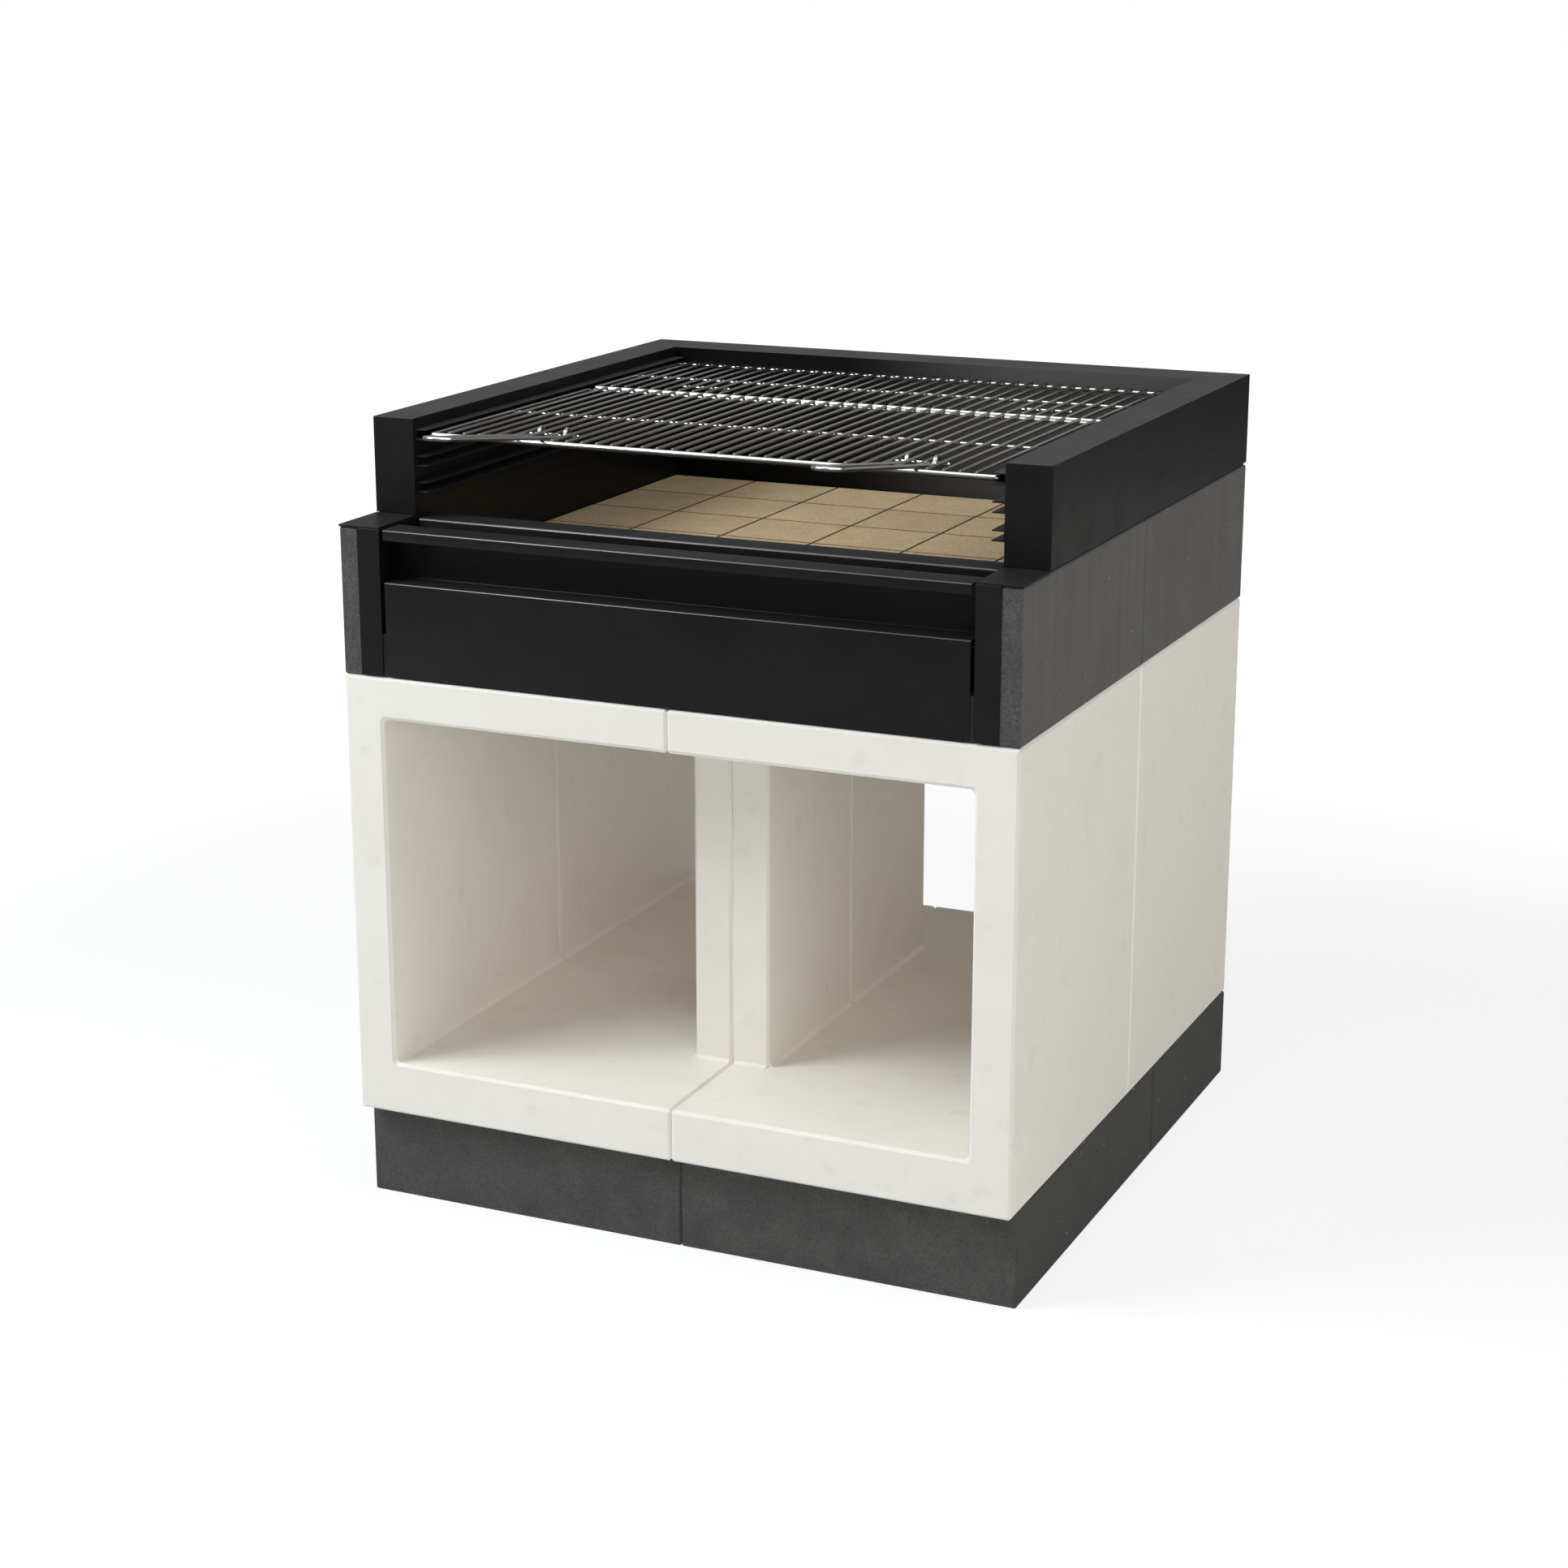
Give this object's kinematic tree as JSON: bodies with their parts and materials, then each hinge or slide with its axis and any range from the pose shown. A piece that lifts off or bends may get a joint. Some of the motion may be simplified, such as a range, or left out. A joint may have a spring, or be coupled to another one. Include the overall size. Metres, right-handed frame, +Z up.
{
  "type": "built-in wood grill",
  "caption": "Built-in wood grill: concrete plinth and open base for firewood, steel-lined hearth with a firebrick floor, ash drawer, sliding wire grids and hinged wire handles.",
  "frame": {"origin": "on the ground, in the middle of the whole part's box, handles included", "axes": "+X right along the front as seen from in front, +Y from front to back, +Z up"},
  "size_m": [0.86, 0.981, 0.9927],
  "materials": {
    "dark_concrete": "matte cast concrete",
    "light_concrete": "smooth matte cast concrete",
    "black_steel": "satin black",
    "firebrick": "matte, grainy",
    "stainless_wire": "polished"
  },
  "bodies": {
    "body": {"plinth_front_left": "dark_concrete", "plinth_front_right": "dark_concrete", "plinth_rear_left": "dark_concrete", "plinth_rear_right": "dark_concrete", "hearth_front": "dark_concrete", "hearth_rear": "dark_concrete", "base_front_left": "light_concrete", "base_front_right": "light_concrete", "base_rear_left": "light_concrete", "base_rear_right": "light_concrete", "fire_pan": "black_steel", "trim_left": "black_steel", "trim_right": "black_steel", "surround": "black_steel", "front_wall": "black_steel", "rail_left_1": "black_steel", "rail_left_2": "black_steel", "rail_left_3": "black_steel", "rail_right_1": "black_steel", "rail_right_2": "black_steel", "rail_right_3": "black_steel", "runner_left": "black_steel", "runner_right": "black_steel", "firebrick_1_1": "firebrick", "firebrick_1_2": "firebrick", "firebrick_1_3": "firebrick", "firebrick_1_4": "firebrick", "firebrick_1_5": "firebrick", "firebrick_1_6": "firebrick", "firebrick_2_1": "firebrick", "firebrick_2_2": "firebrick", "firebrick_2_3": "firebrick", "firebrick_2_4": "firebrick", "firebrick_2_5": "firebrick", "firebrick_2_6": "firebrick", "firebrick_3_1": "firebrick", "firebrick_3_2": "firebrick", "firebrick_3_3": "firebrick", "firebrick_3_4": "firebrick", "firebrick_3_5": "firebrick", "firebrick_3_6": "firebrick", "firebrick_4_1": "firebrick", "firebrick_4_2": "firebrick", "firebrick_4_3": "firebrick", "firebrick_4_4": "firebrick", "firebrick_4_5": "firebrick", "firebrick_4_6": "firebrick", "firebrick_5_1": "firebrick", "firebrick_5_2": "firebrick", "firebrick_5_3": "firebrick", "firebrick_5_4": "firebrick", "firebrick_5_5": "firebrick", "firebrick_5_6": "firebrick"},
    "drawer": {"drawer_front": "black_steel", "drawer_tray": "black_steel"},
    "rear_grid": {"grid_rear": "stainless_wire"},
    "front_grid": {"grid_front": "stainless_wire"},
    "handle_left": {"handle_left": "stainless_wire"},
    "handle_right": {"handle_right": "stainless_wire"}
  },
  "joints": [
    {"name": "drawer_slide", "type": "slide", "parent": "body", "child": "drawer", "axis": [0, -1, 0], "range_m": [0, 0.45]},
    {"name": "rear_grid_slide", "type": "slide", "parent": "body", "child": "rear_grid", "axis": [0, -1, 0], "range_m": [0, 0.06]},
    {"name": "front_grid_slide", "type": "slide", "parent": "rear_grid", "child": "front_grid", "axis": [0, -1, 0], "range_m": [0, 0.3]},
    {"name": "handle_left_swing", "type": "hinge", "parent": "front_grid", "child": "handle_left", "pos_m": [-0.22662, -0.2055, 0.9528], "axis": [-1, 0, 0], "range_deg": [0, 60]},
    {"name": "handle_right_swing", "type": "hinge", "parent": "front_grid", "child": "handle_right", "pos_m": [0.24632, -0.2055, 0.9528], "axis": [-1, 0, 0], "range_deg": [0, 60]}
  ]
}
